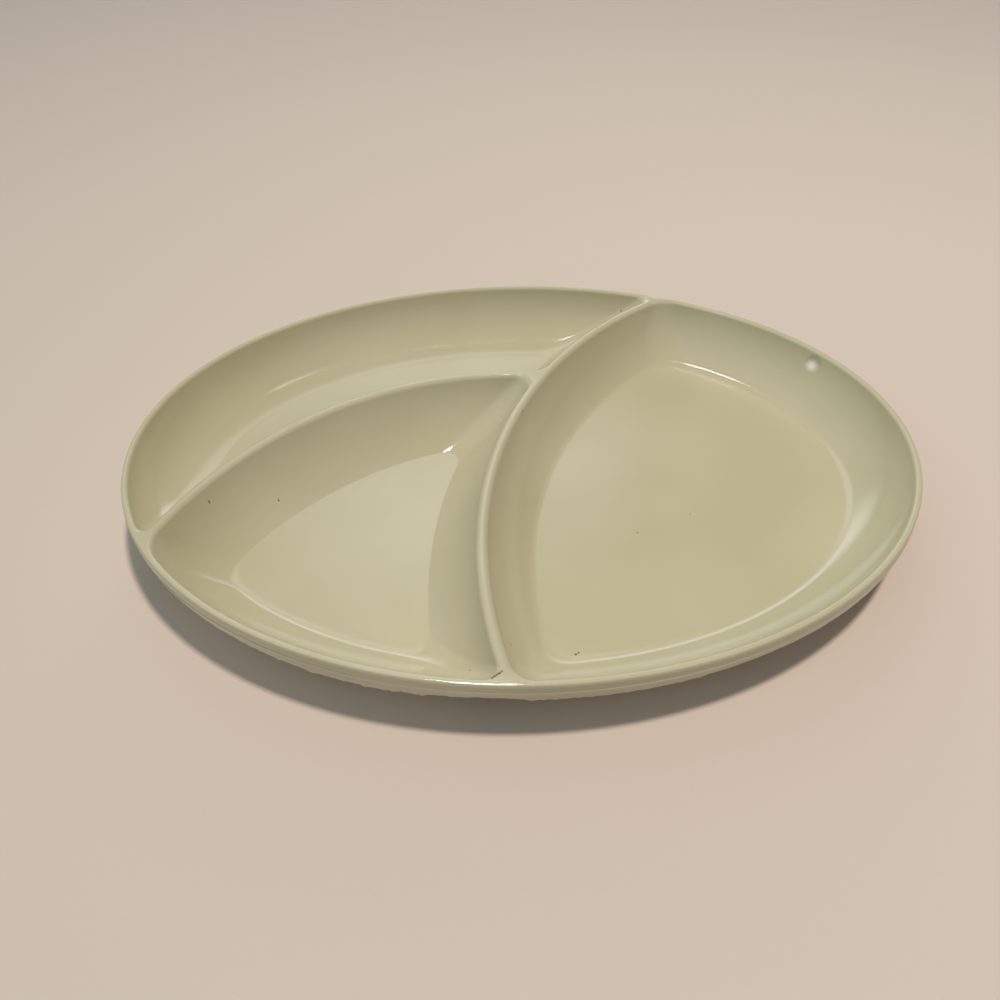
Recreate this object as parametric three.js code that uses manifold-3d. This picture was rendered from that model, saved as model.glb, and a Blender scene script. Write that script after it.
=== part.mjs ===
// Oval serving platter with three wells, parted by two curved dividers.
// Millimetres, +Z up. The origin lies under the middle of the oval, on the surface the platter stands on.
// +X is the long way of the oval, and the round well lies on its +X side.

import * as THREE from 'three';
import { mergeVertices } from 'three/addons/utils/BufferGeometryUtils.js';
import Module from 'manifold-3d';

// Overall size, over the outer edge of the rim.
const LENGTH = 330;
const WIDTH = 233;
const HEIGHT = 28;

// Shell, rim and feet.
const WALL = 2.8;
const LIP_WIDTH = 3;
const RIM_BAND = 6;
const SKIRT_FLARE = 0.85;
const EDGE_ROUND = 0.8;
const FOOT_HEIGHT = 2;
const FOOT_WIDTH = 6;
const FOOT_INSET = 1;

// Dividers: the long one runs from the front lip to the back lip, and its bulge is to the left.
// The short one runs from the left lip to the long one, and its bulge is to the back.
const DIVIDER_TOP = 3.5;
const LONG_FRONT_X = -10;
const LONG_BACK_X = 74;
const LONG_BULGE = 40;
const SHORT_LEFT_Y = -52;
const SHORT_JOIN_DROP = 71.5;
const SHORT_BULGE = 31;

// The well walls are hollow curves: their slope from level, in degrees, at the top and at the base.
// The fan's walls lean back more, and its back wall comes in further in the middle of the floor.
const TOP_SLOPE = 72;
const BASE_SLOPE = 32;
const FAN_TOP_SLOPE = 70;
const FAN_BASE_SLOPE = 28;
const FAN_BACK_LEAN = 3;

// Roundings inside the wells: wall to floor under the lip and under the dividers, and the plan corners
// at the top and on the floor.
const RIM_BASE_ROUND = 10;
const DIVIDER_BASE_ROUND = 2.5;
const CORNER_ROUND = 6;
const FLOOR_CORNER_ROUND = 10;

// How the moulding is parted: the walls' level flange, the land at a divider's end, and the clearance.
const FLANGE = 3;
const SEAM_LAND = 1;
const FIT_GAP = 0.3;

// Colour and finish.
const PALE_CELADON = 0xcac2a1;
const ROUGHNESS = 0.18;

// Facets and search steps, as counts.
const OVAL_SIDES = 120;
const WELL_SIDES = 72;
const CIRCLE_SIDES = 180;
const SLOPE_STEPS = 8;
const FAN_RAYS = 180;
const SPINE_POINTS = 61;
const GRID_STEPS = 120;
const HALVINGS = 40;

const wasm = await Module();
wasm.setup();

// Levels and half sizes that follow from the driving dimensions.
const floorTop = FOOT_HEIGHT + WALL;
const seatLevel = HEIGHT - RIM_BAND;
const lipHalfX = LENGTH / 2 - LIP_WIDTH;
const lipHalfY = WIDTH / 2 - LIP_WIDTH;

// The circle through two points whose arc stands to the left of the way from one to the other.
function arcThrough(from, to, bulge) {
  const chord = to.clone().sub(from);
  const left = new THREE.Vector2(-chord.y, chord.x).normalize();
  const radius = (chord.lengthSq() / 4 + bulge * bulge) / (2 * bulge);
  const centre = from.clone().add(to).multiplyScalar(0.5).addScaledVector(left, bulge - radius);
  return { centre, radius };
}

function lipPointAtX(x, side) {
  return new THREE.Vector2(x, side * lipHalfY * Math.sqrt(1 - (x / lipHalfX) ** 2));
}

function lipPointAtY(y, side) {
  return new THREE.Vector2(side * lipHalfX * Math.sqrt(1 - (y / lipHalfY) ** 2), y);
}

// Centre lines of the two dividers.
const longFront = lipPointAtX(LONG_FRONT_X, -1);
const longBack = lipPointAtX(LONG_BACK_X, 1);
const longArc = arcThrough(longFront, longBack, LONG_BULGE);
const joinY = lipHalfY - SHORT_JOIN_DROP;
const joinReach = Math.sqrt(longArc.radius ** 2 - (joinY - longArc.centre.y) ** 2);
const shortLeft = lipPointAtY(SHORT_LEFT_Y, -1);
const shortJoin = new THREE.Vector2(longArc.centre.x - joinReach, joinY);
const shortArc = arcThrough(shortLeft, shortJoin, SHORT_BULGE);

// A wall's section: a rounded top edge, one hollow curve and a rounding into the floor.
function wallSection(topSlope, baseSlope, baseRound) {
  const top = THREE.MathUtils.degToRad(topSlope);
  const base = THREE.MathUtils.degToRad(baseSlope);
  const edgeDrop = EDGE_ROUND * (1 - Math.cos(top));
  const edgeRun = EDGE_ROUND * (Math.sin(top) - Math.tan(top / 2));
  const curveDrop = HEIGHT - edgeDrop - floorTop - baseRound * (1 - Math.cos(base));
  const curve = curveDrop / (Math.cos(base) - Math.cos(top));
  return { top, base, edgeDrop, edgeRun, curve, baseRound };
}

const rimSection = wallSection(TOP_SLOPE, BASE_SLOPE, RIM_BASE_ROUND);
const dividerSection = wallSection(TOP_SLOPE, BASE_SLOPE, DIVIDER_BASE_ROUND);
const fanSection = wallSection(FAN_TOP_SLOPE, FAN_BASE_SLOPE, DIVIDER_BASE_ROUND);

// Each well lies inside the lip, and inside (-1) or outside (1) the circles of the dividers it touches.
const roundWell = {
  section: dividerSection,
  edges: [{ arc: longArc, side: -1, lean: 0 }],
};
const fanWell = {
  section: fanSection,
  edges: [{ arc: longArc, side: 1, lean: 0 }, { arc: shortArc, side: -1, lean: FAN_BACK_LEAN }],
};
const crescentWell = {
  section: dividerSection,
  edges: [{ arc: longArc, side: 1, lean: 0 }, { arc: shortArc, side: 1, lean: 0 }],
};

// How far a wall has come in from its top edge at height z. A shell thickness gives the outer face.
function wallOffset({ top, base, edgeDrop, edgeRun, curve, baseRound }, z, shell) {
  const drop = Math.max(HEIGHT - z, 0);
  if (shell === 0 && drop < edgeDrop) {
    const slope = Math.acos(1 - drop / EDGE_ROUND);
    return EDGE_ROUND * (Math.sin(slope) - Math.tan(top / 2));
  }
  const curveCos = (drop - edgeDrop + curve * Math.cos(top)) / (curve + shell);
  if (curveCos < Math.cos(base)) {
    return edgeRun + curve * Math.sin(top) - (curve + shell) * Math.sin(Math.acos(curveCos));
  }
  const baseCos = Math.min((floorTop + baseRound - z) / (baseRound + shell), 1);
  const curveRun = curve * (Math.sin(top) - Math.sin(base));
  return edgeRun + curveRun + baseRound * Math.sin(base) - (baseRound + shell) * Math.sin(Math.acos(baseCos));
}

// The height at which a wall's face has the given slope.
function wallHeight({ top, base, edgeDrop, curve, baseRound }, slope, shell) {
  if (slope < base) {
    return floorTop + baseRound - (baseRound + shell) * Math.cos(slope);
  }
  return HEIGHT - edgeDrop + curve * Math.cos(top) - (curve + shell) * Math.cos(slope);
}

function depthShare(z) {
  return THREE.MathUtils.clamp((HEIGHT - z) / (HEIGHT - floorTop), 0, 1);
}

// How much of its lean a wall along the short arc has at a point: all of it halfway along the arc.
function leanShare(point) {
  const join = shortJoin.clone().sub(shortArc.centre).angle();
  const left = shortLeft.clone().sub(shortArc.centre).angle();
  const along = (point.clone().sub(shortArc.centre).angle() - join) / (left - join);
  return Math.sin(Math.PI * THREE.MathUtils.clamp(along, 0, 1));
}

// Distance of a point inside an ellipse, exact on its axes and close to exact near its edge.
function insideOval(point, halfX, halfY) {
  const reach = Math.hypot(point.x / halfX, point.y / halfY);
  const steepness = Math.hypot(point.x / halfX ** 2, point.y / halfY ** 2);
  return steepness > 0 ? (reach * (1 - reach)) / steepness : Math.min(halfX, halfY);
}

// A level outline of a well: z is its height, shell 0 the inner face or WALL the outer one, and inset
// draws it in further on the level floor.
function edgeDistances(well, point, { z, shell, inset }) {
  const rimInset = wallOffset(rimSection, z, shell) + inset;
  const dividerInset = DIVIDER_TOP / 2 + wallOffset(well.section, z, shell) + inset;
  const fromLip = insideOval(point, lipHalfX - rimInset, lipHalfY - rimInset);
  const fromDividers = well.edges.map(({ arc, side, lean }) => {
    const leant = lean > 0 ? lean * leanShare(point) * depthShare(z) : 0;
    return side * (point.distanceTo(arc.centre) - arc.radius) - dividerInset - leant;
  });
  return [fromLip, ...fromDividers];
}

// Positive inside the outline, with its corners rounded.
function outlineField(well, point, outline) {
  const round = THREE.MathUtils.lerp(CORNER_ROUND, FLOOR_CORNER_ROUND, depthShare(outline.z));
  const short = edgeDistances(well, point, outline).map((distance) => Math.max(round - distance, 0));
  return round - Math.hypot(...short);
}

const floorOutline = { z: floorTop, shell: 0, inset: 0 };
const footInner = { z: floorTop, shell: 0, inset: FOOT_INSET + FOOT_WIDTH };

function floorClearance(well, point) {
  return Math.min(...edgeDistances(well, point, floorOutline));
}

// The point of a well that lies furthest from its walls.
function deepestPoint(well) {
  const best = { point: new THREE.Vector2(), clearance: -Infinity };
  for (let i = 1; i < GRID_STEPS; i += 1) {
    for (let j = 1; j < GRID_STEPS; j += 1) {
      const x = lipHalfX * ((2 * i) / GRID_STEPS - 1);
      const y = lipHalfY * ((2 * j) / GRID_STEPS - 1);
      const point = new THREE.Vector2(x, y);
      const clearance = floorClearance(well, point);
      if (clearance > best.clearance) {
        Object.assign(best, { point, clearance });
      }
    }
  }
  return best.point;
}

// The middle line of the crescent's floor, halfway between the lip and the short divider.
function crescentSpine() {
  const { centre, radius } = shortArc;
  const start = longBack.clone().sub(centre).angle();
  const end = shortLeft.clone().sub(centre).angle();
  const spine = [];
  for (let i = 0; i < SPINE_POINTS; i += 1) {
    const angle = THREE.MathUtils.lerp(start, end, i / (SPINE_POINTS - 1));
    const ray = new THREE.Vector2(Math.cos(angle), Math.sin(angle));
    let near = radius;
    let far = radius + WIDTH;
    let point = centre;
    for (let k = 0; k < HALVINGS; k += 1) {
      point = centre.clone().addScaledVector(ray, (near + far) / 2);
      const [fromLip, , fromShort] = edgeDistances(crescentWell, point, floorOutline);
      if (fromLip > fromShort) {
        near = (near + far) / 2;
      } else {
        far = (near + far) / 2;
      }
    }
    if (outlineField(crescentWell, point, footInner) > 0) {
      spine.push(point);
    }
  }
  return spine;
}

// Rays that leave a spine all the way round, counter-clockwise: forward along its right side, round its
// end, back along its left side and round its start. A spine may be a single point.
function raysAround(spine) {
  const rays = [];
  const last = spine.length - 1;
  const headings = spine.map((point, i) => {
    const way = spine[Math.min(i + 1, last)].clone().sub(spine[Math.max(i - 1, 0)]);
    return way.angle();
  });
  const add = (i, angle) => {
    rays.push({ from: spine[i], way: new THREE.Vector2(Math.cos(angle), Math.sin(angle)) });
  };
  const addFan = (i, angle) => {
    for (let k = 1; k < FAN_RAYS; k += 1) {
      add(i, angle + (Math.PI * k) / FAN_RAYS);
    }
  };
  headings.forEach((heading, i) => add(i, heading - Math.PI / 2));
  addFan(last, headings[last] - Math.PI / 2);
  for (let i = last; i >= 0; i -= 1) {
    add(i, headings[i] + Math.PI / 2);
  }
  addFan(0, headings[0] + Math.PI / 2);
  return rays;
}

// Where a ray crosses a well's outline.
function crossing(well, { from, way }, outline) {
  let inside = 0;
  let outside = LENGTH;
  for (let k = 0; k < HALVINGS; k += 1) {
    const middle = (inside + outside) / 2;
    const point = from.clone().addScaledVector(way, middle);
    if (outlineField(well, point, outline) > 0) {
      inside = middle;
    } else {
      outside = middle;
    }
  }
  return from.clone().addScaledVector(way, inside);
}

// Thins the rays to WELL_SIDES, spread by length along the top outline and by how much it turns.
function spreadRays(well, rays) {
  const top = rays.map((ray) => crossing(well, ray, { z: HEIGHT, shell: 0, inset: 0 }));
  const count = top.length;
  const steps = top.map((point, i) => top[(i + 1) % count].clone().sub(point));
  const weights = steps.map((step, i) => {
    const before = steps[(i + count - 1) % count];
    const turn = Math.abs(Math.atan2(before.cross(step), before.dot(step)));
    return step.length() + CORNER_ROUND * turn;
  });
  const total = weights.reduce((sum, weight) => sum + weight, 0);
  const chosen = [];
  let travelled = 0;
  rays.forEach((ray, i) => {
    if (travelled >= (chosen.length * total) / WELL_SIDES) {
      chosen.push(ray);
    }
    travelled += weights[i];
  });
  return chosen;
}

roundWell.rays = spreadRays(roundWell, raysAround([deepestPoint(roundWell)]));
fanWell.rays = spreadRays(fanWell, raysAround([deepestPoint(fanWell)]));
crescentWell.rays = spreadRays(crescentWell, raysAround(crescentSpine()));

// An outline of a well as plan points.
function wellPlan(well, outline) {
  return well.rays.map((ray) => crossing(well, ray, outline));
}

// The outer oval as plan points, drawn in by an inset.
function ovalPlan(inset) {
  const curve = new THREE.EllipseCurve(0, 0, LENGTH / 2 - inset, WIDTH / 2 - inset);
  return curve.getPoints(OVAL_SIDES).slice(0, OVAL_SIDES);
}

function lift(plan, z) {
  return plan.map((point) => new THREE.Vector3(point.x, point.y, z));
}

// Joins rings of equal count into bands. A closed section joins the last ring to the first, and an open
// one gets flat caps on its lowest and highest ring.
function skin(rings, closedSection) {
  const count = rings[0].length;
  const index = [];
  const bands = closedSection ? rings.length : rings.length - 1;
  for (let band = 0; band < bands; band += 1) {
    const low = band * count;
    const high = ((band + 1) % rings.length) * count;
    for (let i = 0; i < count; i += 1) {
      const next = (i + 1) % count;
      index.push(low + i, low + next, high + next, low + i, high + next, high + i);
    }
  }
  if (!closedSection) {
    const top = (rings.length - 1) * count;
    for (const [a, b, c] of THREE.ShapeUtils.triangulateShape(rings[0], [])) {
      index.push(a, c, b);
    }
    for (const [a, b, c] of THREE.ShapeUtils.triangulateShape(rings.at(-1), [])) {
      index.push(top + a, top + b, top + c);
    }
  }
  const geometry = new THREE.BufferGeometry().setFromPoints(rings.flat());
  geometry.setIndex(index);
  return geometry;
}

function toSolid(geometry) {
  const bare = geometry.clone();
  bare.deleteAttribute('normal');
  bare.deleteAttribute('uv');
  const merged = mergeVertices(bare);
  return new wasm.Manifold(new wasm.Mesh({
    numProp: 3,
    vertProperties: merged.getAttribute('position').array,
    triVerts: Uint32Array.from(merged.getIndex().array),
  }));
}

function toGeometry(solid) {
  const mesh = solid.getMesh();
  const geometry = new THREE.BufferGeometry();
  geometry.setAttribute('position', new THREE.BufferAttribute(mesh.vertProperties, 3));
  geometry.setIndex(new THREE.BufferAttribute(mesh.triVerts, 1));
  return geometry;
}

// An upright cylinder that reaches well above and below the rim band.
function bandCylinder({ centre }, radius) {
  const cylinder = new THREE.CylinderGeometry(radius, radius, 2 * HEIGHT, CIRCLE_SIDES);
  cylinder.rotateX(Math.PI / 2);
  cylinder.translate(centre.x, centre.y, HEIGHT);
  return toSolid(cylinder);
}

// The rim band as one plate with a flared skirt and a rounded upper edge, before the wells are cut out.
function bandBlank() {
  const shoulder = EDGE_ROUND * Math.SQRT1_2;
  return toSolid(skin([
    lift(ovalPlan(0), seatLevel),
    lift(ovalPlan(SKIRT_FLARE), HEIGHT - EDGE_ROUND),
    lift(ovalPlan(SKIRT_FLARE + EDGE_ROUND - shoulder), HEIGHT - EDGE_ROUND + shoulder),
    lift(ovalPlan(SKIRT_FLARE + EDGE_ROUND), HEIGHT),
  ], false));
}

// The hollow of a well through the rim band, with the rounded top edge of its wall.
function wellHollow(well) {
  const roundLevel = (angle) => HEIGHT - EDGE_ROUND * (1 - Math.cos(angle));
  const levels = [
    seatLevel - SEAM_LAND,
    seatLevel,
    roundLevel(rimSection.top),
    roundLevel(rimSection.top / 2),
    HEIGHT,
    HEIGHT + SEAM_LAND,
  ];
  return toSolid(skin(levels.map((z) => lift(wellPlan(well, { z, shell: 0, inset: 0 }), z)), false));
}

// All that lies further in than an inset from the outer edge.
function innerOval(inset) {
  const plan = ovalPlan(inset);
  return toSolid(skin([lift(plan, seatLevel - SEAM_LAND), lift(plan, HEIGHT + SEAM_LAND)], false));
}

// The rim and the dividers are one web of ridges. The rim is its outer strip, the short divider is what
// lies near the short arc up to the foot of the long divider, and the long divider is the rest.
function ridges() {
  let web = bandBlank();
  for (const well of [roundWell, fanWell, crescentWell]) {
    web = web.subtract(wellHollow(well));
  }
  const rimStrip = LIP_WIDTH + wallOffset(rimSection, seatLevel, 0) + SEAM_LAND;
  const longFoot = Math.max(
    wallOffset(fanSection, seatLevel, 0),
    wallOffset(dividerSection, seatLevel, 0),
  );
  const longSide = longArc.radius + DIVIDER_TOP / 2 + longFoot + SEAM_LAND;
  const shortReach = DIVIDER_TOP / 2 + longFoot + 2 * FLOOR_CORNER_ROUND;
  const nearShort = bandCylinder(shortArc, shortArc.radius + shortReach)
    .subtract(bandCylinder(shortArc, shortArc.radius - shortReach));
  const inner = web.intersect(innerOval(rimStrip + FIT_GAP));
  return {
    rim: web.subtract(innerOval(rimStrip)),
    long: inner.subtract(nearShort.subtract(bandCylinder(longArc, longSide))),
    short: inner.intersect(nearShort).subtract(bandCylinder(longArc, longSide + FIT_GAP)),
  };
}

// A well's wall: a shell from the rim band down its hollow curve to a short level flange.
function wellWall(well) {
  const ring = (z, shell, inset) => lift(wellPlan(well, { z, shell, inset }), z);
  const face = (shell) => {
    const rings = [];
    for (let k = 0; k <= SLOPE_STEPS; k += 1) {
      const z = wallHeight(rimSection, (rimSection.top * k) / SLOPE_STEPS, shell);
      if (z < seatLevel - SEAM_LAND) {
        rings.push(ring(z, shell, 0));
      }
    }
    rings.push(ring(seatLevel, shell, 0));
    return rings;
  };
  return skin([
    ring(FOOT_HEIGHT, WALL, FLANGE),
    ...face(WALL),
    ...face(0).reverse(),
    ring(floorTop, 0, FLANGE),
  ], true);
}

// A well's flat floor, inside the wall's flange.
function wellFloor(well) {
  const shape = new THREE.Shape(wellPlan(well, { ...floorOutline, inset: FLANGE + FIT_GAP }));
  const floor = new THREE.ExtrudeGeometry(shape, { depth: WALL, bevelEnabled: false });
  return floor.translate(0, 0, FOOT_HEIGHT);
}

// The low foot ring under the joint of wall and floor.
function wellFoot(well) {
  const shape = new THREE.Shape(wellPlan(well, { ...floorOutline, inset: FOOT_INSET }));
  shape.holes.push(new THREE.Path(wellPlan(well, footInner)));
  return new THREE.ExtrudeGeometry(shape, { depth: FOOT_HEIGHT, bevelEnabled: false });
}

const platter = new THREE.Group();

function addPiece(name, geometry) {
  const finish = new THREE.MeshStandardMaterial({ color: PALE_CELADON, roughness: ROUGHNESS, metalness: 0 });
  const mesh = new THREE.Mesh(geometry, finish);
  mesh.name = name;
  platter.add(mesh);
}

const { rim, long, short } = ridges();
addPiece('rim', toGeometry(rim));
addPiece('long_divider', toGeometry(long));
addPiece('short_divider', toGeometry(short));
for (const [name, well] of Object.entries({ round: roundWell, fan: fanWell, crescent: crescentWell })) {
  addPiece(`${name}_wall`, wellWall(well));
  addPiece(`${name}_floor`, wellFloor(well));
  addPiece(`${name}_foot`, wellFoot(well));
}

export default platter;
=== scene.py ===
"""Divided oval serving platter in moulded melamine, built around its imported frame."""

from math import acos, cos, pi, radians, sin, sqrt, tan

import bpy
import numpy as np
from mathutils import Euler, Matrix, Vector
from mathutils.geometry import delaunay_2d_cdt


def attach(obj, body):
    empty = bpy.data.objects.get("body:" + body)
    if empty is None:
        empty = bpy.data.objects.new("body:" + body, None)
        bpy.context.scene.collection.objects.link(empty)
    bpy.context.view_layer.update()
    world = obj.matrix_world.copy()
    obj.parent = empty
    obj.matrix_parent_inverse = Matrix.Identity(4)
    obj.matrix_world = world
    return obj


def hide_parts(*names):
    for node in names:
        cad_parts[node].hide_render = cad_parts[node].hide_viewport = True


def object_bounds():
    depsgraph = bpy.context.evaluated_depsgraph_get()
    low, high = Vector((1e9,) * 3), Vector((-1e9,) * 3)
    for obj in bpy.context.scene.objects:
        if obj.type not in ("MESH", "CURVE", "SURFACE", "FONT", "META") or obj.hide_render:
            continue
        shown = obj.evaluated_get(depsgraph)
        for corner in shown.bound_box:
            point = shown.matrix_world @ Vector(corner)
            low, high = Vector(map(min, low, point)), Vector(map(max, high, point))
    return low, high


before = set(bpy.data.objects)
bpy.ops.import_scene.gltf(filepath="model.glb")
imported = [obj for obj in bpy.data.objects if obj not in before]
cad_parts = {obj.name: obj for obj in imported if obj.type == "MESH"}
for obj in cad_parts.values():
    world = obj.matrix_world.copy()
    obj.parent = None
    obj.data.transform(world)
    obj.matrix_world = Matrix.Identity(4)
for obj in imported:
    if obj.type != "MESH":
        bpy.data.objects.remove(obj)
CAD_LOW, CAD_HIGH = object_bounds()

bl_info = {
    "name": "Divided serving platter",
    "version": (1, 0, 0),
    "blender": (4, 5, 0),
    "location": "View3D > Sidebar > Platter",
    "description": "Builds an oval melamine platter with three wells and a stage to show it on",
    "category": "Add Mesh",
}

# Counts: sides of outlines, rays tried before they are spread, rings, and steps of the searches.
OVAL_SIDES = 720
FLASH_SIDES = 2400
WELL_SIDES = 480
CRESCENT_SIDES = 640
STAR_RAYS = 9600
TURN_RAYS = 2400
EDGE_RINGS = 10
BAND_RINGS = 8
WALL_RINGS = 44
UNDER_RINGS = 26
SPINE_POINTS = 161
HALVINGS = 44
GRID_STEPS = 150

# A ring this close to a seam keeps the shading even across it.
SEAM_STEP = 0.00008

# Specks, the chip and a web that is being filled are measured in millimetres.
MM_PER_METRE = 1000

# Points of a web closer than this, in millimetres, count as one.
SAME_PLACE = 1e-6

# The oval's field is flat in its middle. This least slope keeps it from dividing by nothing there.
LEAST_SLOPE = 1e-6

# A corner counts up to this turn from ray to ray, in radians, when the rays are spread.
SHARPEST_TURN = 0.05

# An edge that turns by more than this is shaded as a corner.
SHARP_EDGE = radians(38)

# Shares of the way from a floor's edge to its middle, for the rings of the shallow dish.
DISH_SHARES = (0.08, 0.18, 0.3, 0.45, 0.62, 0.8)

# Moulding flash below the skirt: way round the oval from the right end, and share of the full reach.
FLASH_PROFILE = (
    (0.0, 0.16), (0.25, 0.1), (0.5, 0.16), (0.6, 0.22), (0.645, 0.5), (0.672, 0.9), (0.69, 1.0),
    (0.706, 0.9), (0.72, 0.55), (0.731, 0.36), (0.744, 0.32), (0.7458, 0.6), (0.768, 0.62), (0.8, 0.45),
    (0.826, 0.24), (0.85, 0.2), (1.0, 0.16),
)

# Dark specks pressed into the surface: plan place and radius in millimetres. The last five make up a
# short rubbed mark at the front end of the long divider.
SPECKS = (
    (46.6, -34.5, 0.5), (70.5, -25.0, 0.4), (15.3, -91.2, 0.7), (16.4, -90.5, 0.5), (-103.5, -16.4, 0.6),
    (-126.6, -27.9, 0.5), (0.9, 17.6, 0.5), (57.0, 103.0, 0.5), (-22.9, -102.4, 0.4), (-8.6, -94.8, 0.4),
    (-15.4, -112.0, 0.8), (-14.7, -111.5, 0.8), (-13.9, -111.0, 0.7), (-13.1, -110.6, 0.7),
    (-12.3, -110.1, 0.5),
)

# How far a speck hides the body colour.
SPECK_SHARE = 0.8

# The chip in the wall below the lip at the right: place and radius in millimetres, depth in metres.
CHIP_PLACE = (141.5, 52.2, 23.0)
CHIP_RADIUS = 4.4
CHIP_DEPTH = 0.0012

# Patterns in the melamine, in metres: clouds, the grain that makes specks uneven, worn patches, ripple.
CLOUD_SIZE = 0.07
GRAIN_SIZE = 0.0008
GRAIN_SHIFT = 0.0005
WEAR_SIZE = 0.025
RIPPLE_SIZE = 0.006
RIPPLE_HEIGHT = 0.000012

# How much smoother and rougher than its set roughness the melamine gets in patches, and its index of
# refraction.
WEAR_SMOOTHER, WEAR_ROUGHER = 0.03, 0.04
MELAMINE_IOR = 1.58

# Teeth in the edge of the flash, in metres.
FLASH_TOOTH = 0.004

# Fibre in the card of the stage's floor, and half a side of that floor, in metres.
FIBRE_SIZE = 0.0015
FIBRE_HEIGHT = 0.00003
TABLE_HALF_SIDE = 1.5

# The discs of the lights, in metres: place, the point that it faces, and breadth.
KEY_LIGHT = (0.25, 0.05, 1.50), (0, 0, 0), 0.15
SMALL_LAMP = (0.28, 0.22, 1.42), (0, 0, 0), 0.13
LIP_LIGHT = (-0.07, 0.187, 1.40), (-0.002, -0.115, 0.028), 0.24
LIP_LIGHT_SPREAD = radians(13)

# The room's soft lights: turn from +X, height, and how far round it is full and gone, in degrees.
GLOWS = {"left_glow": (180, 40, 15, 65), "front_glow": (270, 40, 15, 65), "back_glow": (93, 45, 4, 16)}

# The low band of light at the back, in degrees: heights between which it comes and goes, and turns to
# either side between which it goes.
LOW_GLOW_RISE = (8, 20)
LOW_GLOW_FALL = (26, 40)
LOW_GLOW_BREADTH = (10, 38)

# Brightness of the backdrop that the camera sees beyond the floor, as a share of the floor's colour.
BACKDROP_SHARE = 0.4

# The camera's sensor width in millimetres, and the nearest distance that it shows, in metres.
SENSOR_WIDTH = 36.0
NEAREST_SHOWN = 0.01


def linear(hex_colour):
    """Linear colour of an sRGB hex value."""
    channels = (int(hex_colour[i:i + 2], 16) / 255 for i in (1, 3, 5))
    return tuple(c / 12.92 if c <= 0.04045 else ((c + 0.055) / 1.055) ** 2.4 for c in channels)


def length_property(name, description, default):
    return bpy.props.FloatProperty(
        name=name, description=description, default=default, unit="LENGTH", precision=4)


def slope_property(name, description, degrees):
    return bpy.props.FloatProperty(
        name=name, description=description, default=radians(degrees), subtype="ANGLE")


def power_property(name, description, default):
    return bpy.props.FloatProperty(name=name, description=description, default=default, unit="POWER")


def glow_property(name, description, default):
    return bpy.props.FloatProperty(name=name, description=description, default=default, min=0)


def colour_property(name, description, hex_colour):
    return bpy.props.FloatVectorProperty(
        name=name, description=description, default=linear(hex_colour), subtype="COLOR", min=0, max=1)


class PlatterSizes(bpy.types.PropertyGroup):
    length: length_property("Length", "Over the outer edge of the rim", CAD_HIGH.x - CAD_LOW.x)
    width: length_property("Width", "Over the outer edge of the rim", CAD_HIGH.y - CAD_LOW.y)
    height: length_property("Height", "From the table to the lip", CAD_HIGH.z - CAD_LOW.z)
    lip_width: length_property("Lip width", "Flat lip round the wells", 0.003)
    skirt_depth: length_property("Skirt depth", "Turned-down edge of the rim", 0.006)
    skirt_flare: length_property("Skirt flare", "How far the skirt stands out at its foot", 0.0004)
    shoulder_width: length_property(
        "Shoulder width", "Rounding from the lip into the skirt, across", 0.00085)
    shoulder_drop: length_property(
        "Shoulder drop", "Rounding from the lip into the skirt, downwards", 0.0020)
    lip_round: length_property("Lip rounding", "Rounding from the lip into the wells", 0.0017)
    crest_round: length_property(
        "Crest rounding", "Rounding from a divider's crest into the wells", 0.0022)
    parting_height: length_property(
        "Parting height", "From the skirt's lower edge to the mould's parting line", 0.0020)
    parting_step: length_property(
        "Parting step", "How far the skirt steps in at the parting line", 0.0002)
    skirt_round: length_property("Skirt rounding", "Rounding along the lower edge of the skirt", 0.0004)
    wall: length_property("Wall", "Thickness of walls and floors", 0.0028)
    foot_height: length_property("Foot height", "Height of the foot rings", 0.002)
    foot_width: length_property("Foot width", "Width of the foot rings", 0.006)
    foot_inset: length_property("Foot inset", "From a floor's edge to its foot ring", 0.001)
    divider_top: length_property("Divider top", "Flat crest of the dividers", 0.0035)
    long_front_x: length_property("Long divider front", "Where it meets the front lip", -0.010)
    long_back_x: length_property("Long divider back", "Where it meets the back lip", 0.074)
    long_bulge: length_property("Long divider bulge", "Rise of its arc", 0.040)
    short_left_y: length_property("Short divider left", "Where it meets the left lip", -0.052)
    short_join_drop: length_property("Short divider join", "Its join, forward of the back lip", 0.0715)
    short_bulge: length_property("Short divider bulge", "Rise of its arc", 0.031)
    top_slope: slope_property("Top slope", "Slope of the walls at the top", 72)
    base_slope: slope_property("Base slope", "Slope of the walls at the floor", 32)
    fan_top_slope: slope_property("Fan top slope", "Slope of the fan's walls at the top", 70)
    fan_base_slope: slope_property("Fan base slope", "Slope of the fan's walls at the floor", 28)
    trough_top_slope: slope_property(
        "Trough top slope", "Slope of the crescent's back wall at the top", 77)
    trough_base_slope: slope_property(
        "Trough base slope", "Slope of the crescent's back wall at the floor", 6)
    fan_back_lean: length_property("Fan back lean", "Extra run of the fan's back wall", 0.003)
    rim_base_round: length_property("Rim base rounding", "Wall to floor below the lip", 0.010)
    divider_base_round: length_property("Divider base rounding", "Wall to floor below a divider", 0.0012)
    round_base_round: length_property(
        "Round well base rounding", "Wall to floor below the round well's divider", 0.0050)
    corner_round: length_property("Corner rounding", "Plan corners at the top", 0.006)
    floor_corner_round: length_property("Floor corner rounding", "Plan corners on the floor", 0.010)
    join_round: length_property("Join rounding", "Extra rounding of the fan's corner at the join", 0.007)
    join_reach: length_property("Join reach", "How far from the join the extra rounding reaches", 0.040)
    dish: length_property("Dish", "How far the floors sink towards their middle", 0.00025)
    flash_reach: length_property("Flash reach", "Furthest reach of the moulding flash", 0.0022)
    flash_thickness: length_property("Flash thickness", "Thickness of the moulding flash", 0.0008)


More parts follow.
